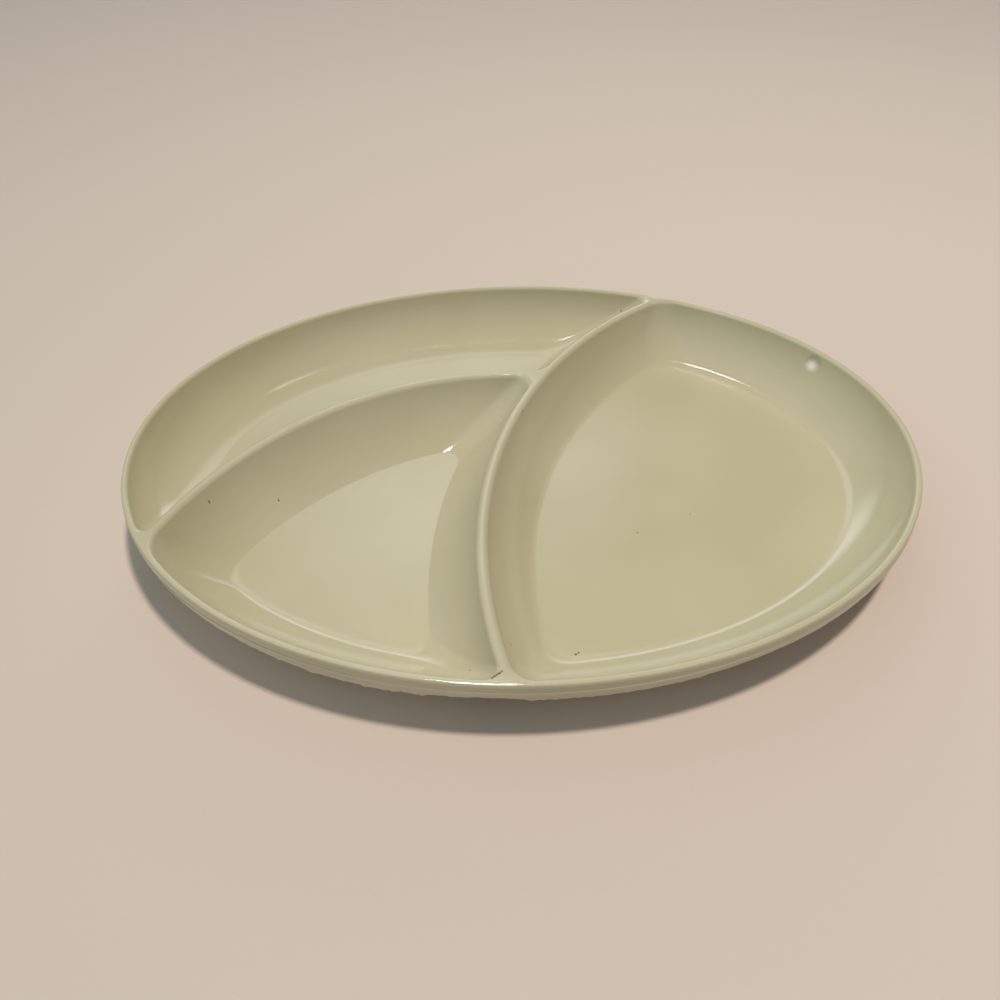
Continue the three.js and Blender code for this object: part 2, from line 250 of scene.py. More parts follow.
class PlatterFinish(bpy.types.PropertyGroup):
    melamine: colour_property("Melamine", "Pale celadon cream body colour", "#cbc1a1")
    melamine_deep: colour_property(
        "Melamine, deeper", "Body colour where the powder packed denser", "#c4bb99")
    # Painted highlight: this very pale colour is the chip's filler, lightened to stand in for the glint
    # on the chip.
    filler_and_painted_glint: colour_property("Filler", "Paler cellulose filler that a chip lays bare", "#f4efe0")
    speck: colour_property("Speck", "Scorched grains in the moulding", "#4a4334")
    table: colour_property("Table", "Pale floor of the stage", "#dbcabc")
    roughness: bpy.props.FloatProperty(
        name="Roughness", description="Roughness of the moulded face", default=0.11, min=0, max=1,
        subtype="FACTOR")


class PlatterStage(bpy.types.PropertyGroup):
    lens: bpy.props.FloatProperty(
        name="Lens", description="Focal length", default=27.0, unit="CAMERA")
    pitch: slope_property("Pitch", "How far the camera looks down", 48)
    heading: slope_property("Heading", "How far the camera is turned about the upright", -1.753)
    camera: bpy.props.FloatVectorProperty(
        name="Camera", description="Place of the camera", default=(-0.0166, -0.2312, 0.2453),
        subtype="TRANSLATION", unit="LENGTH")
    key_power: power_property("Key", "Power of the soft overhead light", 14.4)
    lamp_power: power_property("Lamp", "Power of the small lamp behind the platter", 0.16)
    lip_power: power_property("Lip light", "Power of the narrow light on the front lip", 0.16)
    left_glow: glow_property("Left glow", "Brightness of the wide soft light from the left", 0.5)
    front_glow: glow_property("Front glow", "Brightness of the wide soft light from the front", 0.24)
    back_glow: glow_property("Back glow", "Brightness of the small soft light high at the back", 1.36)
    low_glow: glow_property("Low glow", "Brightness of the soft band of light low at the back", 3.2)
    surround: glow_property("Surround", "Brightness of the room round the platter", 0.046)
    key_tint: colour_property("Key tint", "Tint of the soft overhead light", "#fff6ee")
    room_tint: colour_property("Room tint", "Tint of the soft light from the room", "#e9faff")


class WallSection:
    """Section of a well's wall: a rounded top edge, one hollow curve and a rounding into the floor."""

    def __init__(self, sizes, edge, top, base, base_round):
        self.edge, self.top, self.base, self.base_round = edge, top, base, base_round
        self.height = sizes.height
        self.floor = sizes.foot_height + sizes.wall
        self.edge_drop = self.edge * (1 - cos(top))
        self.edge_run = self.edge * (sin(top) - tan(top / 2))
        curve_drop = self.height - self.edge_drop - self.floor - base_round * (1 - cos(base))
        self.curve = curve_drop / (cos(base) - cos(top))

    def run(self, z, shell):
        """How far the wall has come in from its top edge at height z; a shell gives the outer face."""
        drop = max(self.height - z, 0.0)
        if shell == 0 and drop < self.edge_drop:
            return self.edge * (sin(acos(1 - drop / self.edge)) - tan(self.top / 2))
        turn = (drop - self.edge_drop + self.curve * cos(self.top)) / (self.curve + shell)
        if turn < cos(self.base):
            return self.edge_run + self.curve * sin(self.top) - (self.curve + shell) * sin(acos(turn))
        turn = min((self.floor + self.base_round - z) / (self.base_round + shell), 1.0)
        curve_run = self.curve * (sin(self.top) - sin(self.base))
        base_run = self.base_round * sin(self.base) - (self.base_round + shell) * sin(acos(turn))
        return self.edge_run + curve_run + base_run


class Arc:
    """The circle through two points whose arc stands to the left of the way from one to the other."""

    def __init__(self, start, end, bulge):
        chord = end - start
        reach = np.hypot(*chord)
        left = np.array((-chord[1], chord[0])) / reach
        self.radius = (reach ** 2 / 4 + bulge ** 2) / (2 * bulge)
        self.centre = (start + end) / 2 + left * (bulge - self.radius)

    def beyond(self, points):
        return np.hypot(*(points - self.centre).T) - self.radius

    def angle(self, points):
        return np.mod(np.arctan2(*(points - self.centre).T[::-1]), 2 * pi)


class Well:
    """One well: its wall sections below the lip and below the dividers, its sides as (arc, -1 inside or
    1 outside it, lean), and the extra rounding of its corner at the join of the dividers."""

    def __init__(self, rim, section, sides, join_round=0.0):
        self.rim, self.section, self.sides, self.join_round = rim, section, sides, join_round
        self.starts = self.ways = None


class PlatterPlan:
    """The plan of the platter: the lip, the arcs of the dividers and the wells between them."""

    def __init__(self, sizes):
        self.sizes = sizes
        self.floor = sizes.foot_height + sizes.wall
        self.seat = sizes.height - sizes.skirt_depth
        self.half = np.array((sizes.length, sizes.width)) / 2 - sizes.lip_width
        half_x, half_y = self.half
        front_y = -half_y * sqrt(1 - (sizes.long_front_x / half_x) ** 2)
        back_y = half_y * sqrt(1 - (sizes.long_back_x / half_x) ** 2)
        left_x = -half_x * sqrt(1 - (sizes.short_left_y / half_y) ** 2)
        self.long_back = np.array((sizes.long_back_x, back_y))
        self.long_arc = Arc(np.array((sizes.long_front_x, front_y)), self.long_back, sizes.long_bulge)
        join_y = half_y - sizes.short_join_drop
        join_reach = sqrt(self.long_arc.radius ** 2 - (join_y - self.long_arc.centre[1]) ** 2)
        self.short_join = np.array((self.long_arc.centre[0] - join_reach, join_y))
        self.short_left = np.array((left_x, sizes.short_left_y))
        self.short_arc = Arc(self.short_left, self.short_join, sizes.short_bulge)
        slopes, crest = (sizes.top_slope, sizes.base_slope), sizes.crest_round
        fan_slopes = sizes.fan_top_slope, sizes.fan_base_slope
        trough_slopes = sizes.trough_top_slope, sizes.trough_base_slope
        rim = WallSection(sizes, sizes.lip_round, *slopes, sizes.rim_base_round)
        trough = WallSection(sizes, sizes.lip_round, *trough_slopes, sizes.rim_base_round)
        plain = WallSection(sizes, crest, *slopes, sizes.divider_base_round)
        soft = WallSection(sizes, crest, *slopes, sizes.round_base_round)
        leaning = WallSection(sizes, crest, *fan_slopes, sizes.divider_base_round)
        self.wells = {
            "round": Well(rim, soft, [(self.long_arc, -1, 0)]),
            "fan": Well(
                rim, leaning, [(self.long_arc, 1, 0), (self.short_arc, -1, sizes.fan_back_lean)],
                sizes.join_round),
            "crescent": Well(trough, plain, [(self.long_arc, 1, 0), (self.short_arc, 1, 0)]),
        }
        for name in ("round", "fan"):
            well = self.wells[name]
            self.spread(well, *self.star(self.deepest(well)), WELL_SIDES)
        self.spread(self.wells["crescent"], *self.comb(self.crescent_spine()), CRESCENT_SIDES)

    def depth_share(self, z):
        return min(max((self.sizes.height - z) / (self.sizes.height - self.floor), 0), 1)

    def lean_share(self, points):
        """All of the lean halfway along the short arc and none at its ends."""
        join, left = self.short_arc.angle(np.array((self.short_join, self.short_left)))
        along = (self.short_arc.angle(points) - join) / (left - join)
        return np.sin(pi * np.clip(along, 0, 1))

    def distances(self, well, points, z, shell, inset):
        half_x, half_y = self.half - well.rim.run(z, shell) - inset
        x, y = points.T
        reach = np.hypot(x / half_x, y / half_y)
        steepness = np.hypot(x / half_x ** 2, y / half_y ** 2)
        found = [reach * (1 - reach) / np.maximum(steepness, LEAST_SLOPE)]
        for arc, side, lean in well.sides:
            drawn_in = self.sizes.divider_top / 2 + well.section.run(z, shell) + inset
            leant = lean * self.depth_share(z) * self.lean_share(points) if lean else 0
            found.append(side * arc.beyond(points) - drawn_in - leant)
        return found

    def field(self, well, points, z, shell=0.0, inset=0.0):
        """Positive inside the level outline of a well at height z, whose corners are rounded."""
        share = self.depth_share(z)
        from_join = np.hypot(*(points - self.short_join).T) / self.sizes.join_reach
        rounding = (1 - share) * self.sizes.corner_round + share * self.sizes.floor_corner_round
        rounding = rounding + well.join_round * (1 + share) / 2 * np.exp(-from_join ** 2)
        short = [np.maximum(rounding - d, 0) for d in self.distances(well, points, z, shell, inset)]
        return rounding - np.sqrt(sum(d ** 2 for d in short))

    def crossings(self, well, starts, ways, z, shell=0.0, inset=0.0):
        inside = np.zeros(len(starts))
        outside = np.full(len(starts), self.sizes.length)
        for _ in range(HALVINGS):
            middle = (inside + outside) / 2
            within = self.field(well, starts + ways * middle[:, None], z, shell, inset) > 0
            inside = np.where(within, middle, inside)
            outside = np.where(within, outside, middle)
        return starts + ways * inside[:, None]

    def outline(self, well, z, shell=0.0, inset=0.0):
        return self.crossings(well, well.starts, well.ways, z, shell, inset)

    def deepest(self, well):
        """The point of a well that lies furthest from its walls."""
        axes = [np.linspace(-half, half, GRID_STEPS) for half in self.half]
        points = np.stack(np.meshgrid(*axes), axis=-1).reshape(-1, 2)
        clearance = np.min(self.distances(well, points, self.floor, 0.0, 0.0), axis=0)
        return points[np.argmax(clearance)]

    def crescent_spine(self):
        """Middle line of the crescent's floor, halfway between the lip and the short divider."""
        well = self.wells["crescent"]
        ends = self.short_arc.angle(np.array((self.long_back, self.short_left)))
        angles = np.linspace(*ends, SPINE_POINTS)
        ways = np.stack((np.cos(angles), np.sin(angles)), axis=-1)
        near = np.full(SPINE_POINTS, self.short_arc.radius)
        far = near + self.sizes.width
        for _ in range(HALVINGS):
            middle = (near + far) / 2
            points = self.short_arc.centre + ways * middle[:, None]
            from_lip, _, from_short = self.distances(well, points, self.floor, 0.0, 0.0)
            near = np.where(from_lip > from_short, middle, near)
            far = np.where(from_lip > from_short, far, middle)
        inset = self.sizes.foot_inset + self.sizes.foot_width
        return points[self.field(well, points, self.floor, 0.0, inset) > 0]

    @staticmethod
    def star(point):
        """Rays that leave one point all the way round."""
        angles = np.linspace(0, 2 * pi, STAR_RAYS, endpoint=False)
        ways = np.stack((np.cos(angles), np.sin(angles)), axis=-1)
        return np.tile(point, (len(ways), 1)), ways

    @staticmethod
    def comb(spine):
        """Rays that leave a line all the way round: along one side, round its end and back."""
        heading = np.arctan2(*np.gradient(spine, axis=0).T[::-1])
        turn = np.linspace(0, pi, TURN_RAYS)[1:-1] - pi / 2
        first, last = (np.tile(spine[end], (len(turn), 1)) for end in (0, -1))
        starts = [spine, last, spine[::-1], first]
        angles = [heading - pi / 2, heading[-1] + turn, heading[::-1] + pi / 2, heading[0] + pi + turn]
        angles = np.concatenate(angles)
        return np.concatenate(starts), np.stack((np.cos(angles), np.sin(angles)), axis=-1)

    def spread(self, well, starts, ways, count):
        """Keeps count rays, spread by length along the top outline and by how much it turns."""
        top = self.crossings(well, starts, ways, self.sizes.height)
        steps = np.roll(top, -1, axis=0) - top
        heading = np.arctan2(steps[:, 1], steps[:, 0])
        turns = np.abs(np.mod(heading - np.roll(heading, 1) + pi, 2 * pi) - pi)
        weights = np.hypot(*steps.T) + self.sizes.corner_round * np.minimum(turns, SHARPEST_TURN)
        travelled = np.concatenate(((0,), np.cumsum(weights)))
        targets = np.arange(count) * travelled[-1] / count
        chosen = np.unique(np.searchsorted(travelled, targets, side="right") - 1)
        well.starts, well.ways = starts[chosen], ways[chosen]

    def oval(self, inset, sides=OVAL_SIDES):
        angles = np.linspace(0, 2 * pi, sides, endpoint=False)
        half = self.half + self.sizes.lip_width - inset
        return np.stack((np.cos(angles), np.sin(angles)), axis=-1) * half


class Moulding:
    """Gathers level rings of points and the faces between them."""

    def __init__(self):
        self.points, self.faces, self.count = [], [], 0

    def ring(self, plan_points, z):
        heights = np.broadcast_to(z, (len(plan_points),))
        self.points.append(np.column_stack((plan_points, heights)))
        indices = np.arange(self.count, self.count + len(plan_points))
        self.count += len(plan_points)
        return indices

    def loft(self, rings):
        for near, far in zip(rings, rings[1:]):
            quads = np.stack((near, np.roll(near, -1), np.roll(far, -1), far), axis=-1)
            self.faces.extend(quads.tolist())

    def fill(self, outer, holes, inside_hole, flip):
        """Fills the flat web between an outer ring and the rings of its holes."""
        points = np.concatenate(self.points)[:, :2] * MM_PER_METRE
        rings = [outer, *holes]
        ids = np.concatenate(rings)
        edges, first = [], 0
        for ring in rings:
            local = np.arange(first, first + len(ring))
            edges.extend(np.stack((local, np.roll(local, -1)), axis=-1).tolist())
            first += len(ring)
        flat = [Vector(p) for p in points[ids]]
        found, _, triangles, *_ = delaunay_2d_cdt(flat, edges, [], 0, SAME_PLACE)
        if len(found) != len(flat):
            raise RuntimeError("two outlines of the web cross each other")
        triangles = np.array(triangles)
        corners = points[ids][triangles] / MM_PER_METRE
        triangles = triangles[~inside_hole(corners.mean(axis=1))]
        a, b, c = np.moveaxis(points[ids][triangles], 1, 0)
        area = (b - a)[:, 0] * (c - a)[:, 1] - (b - a)[:, 1] * (c - a)[:, 0]
        turned = (area < 0) != flip
        triangles[turned] = triangles[turned][:, ::-1]
        self.faces.extend(ids[triangles].tolist())

    def mesh(self, name):
        mesh = bpy.data.meshes.new(name)
        mesh.from_pydata(np.concatenate(self.points).tolist(), [], self.faces)
        mesh.validate()
        return mesh


def dress(mesh, nodes):
    """Shades a finished mesh, gives it its material and lets it stand for the named nodes."""
    mesh.shade_smooth()
    mesh.set_sharp_from_angle(angle=SHARP_EDGE)
    if not mesh.materials:
        mesh.materials.append(melamine_material())
    corners = np.array([mesh.vertices[i].co for t in triangles_of(mesh) for i in t]).reshape(-1, 3, 3)
    volume = np.einsum("ij,ij->i", corners[:, 0], np.cross(corners[:, 1], corners[:, 2])).sum() / 6
    if volume <= 0:
        raise RuntimeError(f"{mesh.name} is inside out")
    piece = bpy.data.objects.new(mesh.name, mesh)
    bpy.context.scene.collection.objects.link(piece)
    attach(piece, "root")
    if nodes:
        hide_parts(*nodes)
    return piece


def triangles_of(mesh):
    mesh.calc_loop_triangles()
    return [triangle.vertices for triangle in mesh.loop_triangles]


def add_node(tree, kind, inputs=None, **settings):
    """Adds a node; an input's value is a constant or another node's output socket."""
    node = tree.nodes.new(kind)
    for name, value in settings.items():
        setattr(node, name, value)
    for key, value in (inputs or {}).items():
        if isinstance(value, bpy.types.NodeSocket):
            tree.links.new(value, node.inputs[key])
        else:
            node.inputs[key].default_value = value
    return node


def melamine_material():
    """Melamine resin, compression moulded in a polished steel mould: hard, even and glossy.

    The eye sees a clear sharp reflection over a milky, nearly even body colour, slightly cloudy where the
    powder packed unevenly, a few scorched specks, and a faint ripple left by the mould.
    """
    name = "compression-moulded melamine"
    if name in bpy.data.materials:
        return bpy.data.materials[name]
    finish = bpy.context.scene.platter_finish
    material = bpy.data.materials.new(name)
    material.use_nodes = True
    tree = material.node_tree
    tree.nodes.clear()
    place = add_node(tree, "ShaderNodeTexCoord").outputs["Object"]

    # Clouds from uneven packing of the powder.
    clouds = add_node(tree, "ShaderNodeTexNoise", {
        "Vector": place, "Scale": 1 / CLOUD_SIZE, "Detail": 2.0, "Roughness": 0.5})
    cloud_share = add_node(tree, "ShaderNodeMapRange", {
        "Value": clouds.outputs["Fac"], "From Min": 0.35, "From Max": 0.65})
    body = add_node(tree, "ShaderNodeMix", {
        "Factor": cloud_share.outputs["Result"],
        "A": (*finish.melamine, 1), "B": (*finish.melamine_deep, 1)}, data_type="RGBA")

    # Each speck is a small disc at its own plan place, its edge made uneven by a fine grain.
    grain = add_node(tree, "ShaderNodeTexNoise", {"Vector": place, "Scale": 1 / GRAIN_SIZE})
    shifted = add_node(tree, "ShaderNodeVectorMath", {
        0: grain.outputs["Color"], 1: (GRAIN_SHIFT, GRAIN_SHIFT, 0), 2: place}, operation="MULTIPLY_ADD")
    level = add_node(tree, "ShaderNodeVectorMath", {
        0: shifted.outputs["Vector"], 1: (1, 1, 0), 2: (-GRAIN_SHIFT / 2, -GRAIN_SHIFT / 2, 0)},
        operation="MULTIPLY_ADD")
    mask = None
    for speck in SPECKS:
        x, y, radius = (measure / MM_PER_METRE for measure in speck)
        gap = add_node(tree, "ShaderNodeVectorMath", {
            0: level.outputs["Vector"], 1: (x, y, 0)}, operation="DISTANCE")
        disc = add_node(tree, "ShaderNodeMapRange", {
            "Value": gap.outputs["Value"], "From Min": radius / 3, "From Max": radius,
            "To Min": SPECK_SHARE, "To Max": 0.0}, interpolation_type="SMOOTHSTEP")
        share = disc.outputs["Result"]
        if mask is not None:
            share = add_node(tree, "ShaderNodeMath", {0: mask, 1: share}, operation="MAXIMUM").outputs[0]
        mask = share
    specked = add_node(tree, "ShaderNodeMix", {
        "Factor": mask, "A": body.outputs["Result"], "B": (*finish.speck, 1)}, data_type="RGBA")

    # Gloss varies in patches where the face has been wiped and used.
    wear = add_node(tree, "ShaderNodeTexNoise", {"Vector": place, "Scale": 1 / WEAR_SIZE, "Detail": 3.0})
    gloss = add_node(tree, "ShaderNodeMapRange", {
        "Value": wear.outputs["Fac"], "From Min": 0.3, "From Max": 0.7,
        "To Min": finish.roughness - WEAR_SMOOTHER, "To Max": finish.roughness + WEAR_ROUGHER})

    # The mould's ripple is long from crest to crest and a few micrometres high.
    ripple = add_node(tree, "ShaderNodeTexNoise", {
        "Vector": place, "Scale": 1 / RIPPLE_SIZE, "Detail": 1.0})
    rippled = add_node(tree, "ShaderNodeBump", {
        "Strength": 1.0, "Distance": RIPPLE_HEIGHT, "Height": ripple.outputs["Fac"]})

    # The chip is a shallow dimple with an uneven edge. Its pale disc is the paler filler, lightened
    # further as a painted highlight that stands in for the chip's glint.
    *chip_place, chip_radius = (measure / MM_PER_METRE for measure in (*CHIP_PLACE, CHIP_RADIUS))
    chip_gap = add_node(tree, "ShaderNodeVectorMath", {
        0: shifted.outputs["Vector"], 1: chip_place}, operation="DISTANCE")
    chip = add_node(tree, "ShaderNodeMapRange", {
        "Value": chip_gap.outputs["Value"], "From Min": chip_radius / 8, "From Max": chip_radius},
        interpolation_type="SMOOTHSTEP")
    surface = add_node(tree, "ShaderNodeBump", {
        "Strength": 1.0, "Distance": CHIP_DEPTH, "Height": chip.outputs["Result"],
        "Normal": rippled.outputs["Normal"]})
    # Painted highlight over the chip: the pale filler disc also stands in for its glint.
    chip_and_painted_glint = add_node(tree, "ShaderNodeMix", {
        "Factor": chip.outputs["Result"], "A": (*finish.filler_and_painted_glint, 1), "B": specked.outputs["Result"]},
        data_type="RGBA")

    shader = add_node(tree, "ShaderNodeBsdfPrincipled", {
        "Base Color": chip_and_painted_glint.outputs["Result"], "Roughness": gloss.outputs["Result"],
        "Normal": surface.outputs["Normal"], "IOR": MELAMINE_IOR})
    add_node(tree, "ShaderNodeOutputMaterial", {"Surface": shader.outputs["BSDF"]})
    return material


class PLATTER_OT_ridges(bpy.types.Operator):
    """Builds the web of ridges: the rim with its skirt, and both dividers"""

    bl_idname = "platter.ridges"
    bl_label = "Rim and dividers"

    def execute(self, context):
        sizes = context.scene.platter_sizes
        plan = PlatterPlan(sizes)
        web = Moulding()
        turns = np.linspace(0, pi / 2, EDGE_RINGS)
        low = [
            web.ring(
                plan.oval(sizes.skirt_round * (1 - sin(t))),
                plan.seat + sizes.skirt_round * (1 - cos(t)))
            for t in turns]
        high = [
            web.ring(
                plan.oval(sizes.skirt_flare + sizes.shoulder_width * (1 - cos(t))),
                sizes.height - sizes.shoulder_drop * (1 - sin(t)))
            for t in turns]
        parting = plan.seat + sizes.parting_height
        step = [web.ring(plan.oval(inset), parting + inset) for inset in (0.0, sizes.parting_step)]
        web.loft(low + step + high)
        tops, seats = [], []
        for well in plan.wells.values():
            edge_slopes = np.linspace(0, well.section.top, EDGE_RINGS)
            levels = [sizes.height - sizes.crest_round * (1 - cos(t)) for t in edge_slopes]
            levels += list(np.linspace(levels[-1], plan.seat + SEAM_STEP, BAND_RINGS)[1:])
            rings = [web.ring(plan.outline(well, z), z) for z in (*levels, plan.seat)]
            web.loft(rings)
            tops.append(rings[0])
            seats.append(rings[-1])

        def in_a_well(z):
            def test(points):
                return np.max([plan.field(well, points, z) for well in plan.wells.values()], axis=0) > 0
            return test

        web.fill(high[-1], tops, in_a_well(sizes.height), False)
        web.fill(low[0], seats, in_a_well(plan.seat), True)
        dress(web.mesh("ridge_web"), ("rim", "long_divider", "short_divider"))
        return {"FINISHED"}


class PLATTER_OT_wells(bpy.types.Operator):
    """Builds the three wells, each with its hollow-curved wall and slightly dished floor"""

    bl_idname = "platter.wells"
    bl_label = "Wells"

    def execute(self, context):
        sizes = context.scene.platter_sizes
        plan = PlatterPlan(sizes)
        for name, well in plan.wells.items():
            bowl = Moulding()
            rings = []
            # Rings lie closer together near the floor, where the wall turns.
            for share in np.linspace(0, 1, UNDER_RINGS) ** 2:
                z = sizes.foot_height + (plan.seat - sizes.foot_height) * share
                rings.append(bowl.ring(plan.outline(well, z, sizes.wall), z))
            drop = plan.seat - plan.floor
            levels = [plan.seat, plan.seat - SEAM_STEP]
            levels += [plan.floor + drop * share for share in np.linspace(1, 0, WALL_RINGS)[1:] ** 2]
            rings += [bowl.ring(plan.outline(well, z), z) for z in levels]
            edge = plan.outline(well, plan.floor)
            # The dish starts softly, so that no crease shows along the floor's edge.
            for share in DISH_SHARES:
                sink = sizes.dish * (1 - (1 - share) ** 2) * min(1, share / DISH_SHARES[1])
                rings.append(bowl.ring(edge + (well.starts - edge) * share, plan.floor - sink))
            bowl.loft(rings)
            bowl.faces.append(rings[0][::-1].tolist())
            bowl.faces.append(rings[-1].tolist())
            dress(bowl.mesh(f"{name}_well"), (f"{name}_wall", f"{name}_floor"))
        return {"FINISHED"}


def node_group(name, sockets):
    """An empty geometry tree with named inputs and one geometry output."""
    tree = bpy.data.node_groups.new(name, "GeometryNodeTree")
    for label, kind, default in sockets:
        socket = tree.interface.new_socket(label, in_out="INPUT", socket_type=kind)
        if default is not None:
            socket.default_value = default
    tree.interface.new_socket("Geometry", in_out="OUTPUT", socket_type="NodeSocketGeometry")
    return tree, tree.nodes.new("NodeGroupInput").outputs


def grow(tree, source, values):
    """Runs a geometry tree on a mesh with the given input values and returns the plain mesh."""
    host = bpy.data.objects.new(source.name, source)
    bpy.context.scene.collection.objects.link(host)
    modifier = host.modifiers.new(tree.name, "NODES")
    modifier.node_group = tree
    for item in tree.interface.items_tree:
        if item.in_out == "INPUT" and item.name in values:
            modifier[item.identifier] = values[item.name]
    depsgraph = bpy.context.evaluated_depsgraph_get()
    mesh = bpy.data.meshes.new_from_object(host.evaluated_get(depsgraph), depsgraph=depsgraph)
    host.modifiers.remove(modifier)
    bpy.data.objects.remove(host)
    return mesh


def path_mesh(name, points, z):
    """A closed line of edges through plan points."""
    count = len(points)
    mesh = bpy.data.meshes.new(name)
    edges = [(i, (i + 1) % count) for i in range(count)]
    mesh.from_pydata([(x, y, z) for x, y in points], edges, [])
    way_round = mesh.attributes.new("way_round", "FLOAT", "POINT")
    way_round.data.foreach_set("value", np.arange(count) / count)
    return mesh


def foot_tree():
    """Sweeps a rounded bar along a closed path."""
    tree, given = node_group("foot ring", (
        ("Path", "NodeSocketGeometry", None),
        ("Width", "NodeSocketFloat", 0.006),
        ("Height", "NodeSocketFloat", 0.002),
        ("Rounding", "NodeSocketFloat", 0.0004),
        ("Finish", "NodeSocketMaterial", None),
    ))
    path = add_node(tree, "GeometryNodeMeshToCurve", {"Mesh": given["Path"]})
    level = add_node(tree, "GeometryNodeSetCurveNormal", {"Curve": path.outputs["Curve"]}, mode="Z_UP")
    bar = add_node(tree, "GeometryNodeCurvePrimitiveQuadrilateral", {
        "Width": given["Width"], "Height": given["Height"]}, mode="RECTANGLE")
    soft_bar = add_node(tree, "GeometryNodeFilletCurve", {
        "Curve": bar.outputs["Curve"], "Radius": given["Rounding"], "Count": 4}, mode="POLY")
    sweep = add_node(tree, "GeometryNodeCurveToMesh", {
        "Curve": level.outputs["Curve"], "Profile Curve": soft_bar.outputs["Curve"]})
    real = add_node(tree, "GeometryNodeRealizeInstances", {"Geometry": sweep.outputs["Mesh"]})
    done = add_node(tree, "GeometryNodeSetMaterial", {
        "Geometry": real.outputs["Geometry"], "Material": given["Finish"]})
    add_node(tree, "NodeGroupOutput", {"Geometry": done.outputs["Geometry"]})
    return tree


def flash_tree():
    """Hangs a thin fin from the oval and lets it reach down and out as its profile and a noise say."""
    tree, given = node_group("moulding flash", (
        ("Path", "NodeSocketGeometry", None),
        ("Oval", "NodeSocketVector", (0.165, 0.1165, 1.0)),
        ("Reach", "NodeSocketFloat", 0.0022),
        ("Root", "NodeSocketFloat", 0.001),
        ("Thickness", "NodeSocketFloat", 0.0008),
        ("Rounding", "NodeSocketFloat", 0.0002),
        ("Raggedness", "NodeSocketFloat", 0.4),
        ("Hang", "NodeSocketVector", (0.3, 0.3, -0.95)),
        ("Seed", "NodeSocketFloat", 7.0),
        ("Finish", "NodeSocketMaterial", None),
    ))
    path = add_node(tree, "GeometryNodeMeshToCurve", {"Mesh": given["Path"]})
    level = add_node(tree, "GeometryNodeSetCurveNormal", {"Curve": path.outputs["Curve"]}, mode="Z_UP")
    way_round = add_node(tree, "GeometryNodeInputNamedAttribute", {"Name": "way_round"})
    place = add_node(tree, "GeometryNodeInputPosition")
    middle = add_node(tree, "GeometryNodeCaptureAttribute", {"Geometry": level.outputs["Curve"]})
    middle.capture_items.new("VECTOR", "Middle")
    tree.links.new(place.outputs["Position"], middle.inputs["Middle"])

    fin = add_node(tree, "GeometryNodeCurvePrimitiveQuadrilateral", {
        "Width": given["Thickness"], "Height": given["Root"]}, mode="RECTANGLE")
    soft_fin = add_node(tree, "GeometryNodeFilletCurve", {
        "Curve": fin.outputs["Curve"], "Radius": given["Rounding"], "Count": 3}, mode="POLY")
    sweep = add_node(tree, "GeometryNodeCurveToMesh", {
        "Curve": middle.outputs["Geometry"], "Profile Curve": soft_fin.outputs["Curve"]})

    profile = add_node(tree, "ShaderNodeFloatCurve", {"Value": way_round.outputs["Attribute"]})
    curve = profile.mapping.curves[0]
    for way, share in FLASH_PROFILE[1:-1]:
        curve.points.new(way, share)
    curve.points[0].location, curve.points[-1].location = FLASH_PROFILE[0], FLASH_PROFILE[-1]
    for point in curve.points:
        point.handle_type = "AUTO_CLAMPED"
    profile.mapping.update()
    ragged = add_node(tree, "ShaderNodeTexNoise", {
        "Vector": middle.outputs["Middle"], "W": given["Seed"], "Scale": 1 / FLASH_TOOTH, "Detail": 5.0,
        "Roughness": 0.65}, noise_dimensions="4D")
    uneven = add_node(tree, "ShaderNodeMapRange", {
        "Value": ragged.outputs["Fac"], "From Min": 0.3, "From Max": 0.7, "To Min": -1.0, "To Max": 1.0})
    share = add_node(tree, "ShaderNodeMath", {
        0: uneven.outputs["Result"], 1: given["Raggedness"], 2: 1.0}, operation="MULTIPLY_ADD")
    reach = add_node(tree, "ShaderNodeMath", {
        0: profile.outputs["Value"], 1: share.outputs["Value"]}, operation="MULTIPLY")
    reach_length = add_node(tree, "ShaderNodeMath", {
        0: reach.outputs["Value"], 1: given["Reach"]}, operation="MULTIPLY")

    # Only the lower side of the fin moves, so that its root stays inside the skirt. Outward is square to
    # the oval: the plan place over the squares of the oval's half axes.
    from_middle = add_node(tree, "ShaderNodeVectorMath", {
        0: place.outputs["Position"], 1: middle.outputs["Middle"]}, operation="SUBTRACT")
    height = add_node(tree, "ShaderNodeSeparateXYZ", {"Vector": from_middle.outputs["Vector"]})
    lower = add_node(tree, "FunctionNodeCompare", {
        0: height.outputs["Z"], 1: 0.0}, data_type="FLOAT", operation="LESS_THAN")
    flat_middle = add_node(tree, "ShaderNodeVectorMath", {
        0: middle.outputs["Middle"], 1: (1, 1, 0)}, operation="MULTIPLY")
    slope = add_node(tree, "ShaderNodeVectorMath", {
        0: flat_middle.outputs["Vector"], 1: given["Oval"]}, operation="DIVIDE")
    steepest = add_node(tree, "ShaderNodeVectorMath", {
        0: slope.outputs["Vector"], 1: given["Oval"]}, operation="DIVIDE")
    outward = add_node(tree, "ShaderNodeVectorMath", {
        0: steepest.outputs["Vector"]}, operation="NORMALIZE")
    hanging = add_node(tree, "ShaderNodeVectorMath", {
        0: outward.outputs["Vector"], 1: (0, 0, 1)}, operation="ADD")
    aim = add_node(tree, "ShaderNodeVectorMath", {
        0: hanging.outputs["Vector"], 1: given["Hang"]}, operation="MULTIPLY")
    offset = add_node(tree, "ShaderNodeVectorMath", {
        0: aim.outputs["Vector"], "Scale": reach_length.outputs["Value"]}, operation="SCALE")
    drawn_out = add_node(tree, "GeometryNodeSetPosition", {
        "Geometry": sweep.outputs["Mesh"], "Selection": lower.outputs["Result"],
        "Offset": offset.outputs["Vector"]})
    real = add_node(tree, "GeometryNodeRealizeInstances", {"Geometry": drawn_out.outputs["Geometry"]})
    done = add_node(tree, "GeometryNodeSetMaterial", {
        "Geometry": real.outputs["Geometry"], "Material": given["Finish"]})
    add_node(tree, "NodeGroupOutput", {"Geometry": done.outputs["Geometry"]})
    return tree


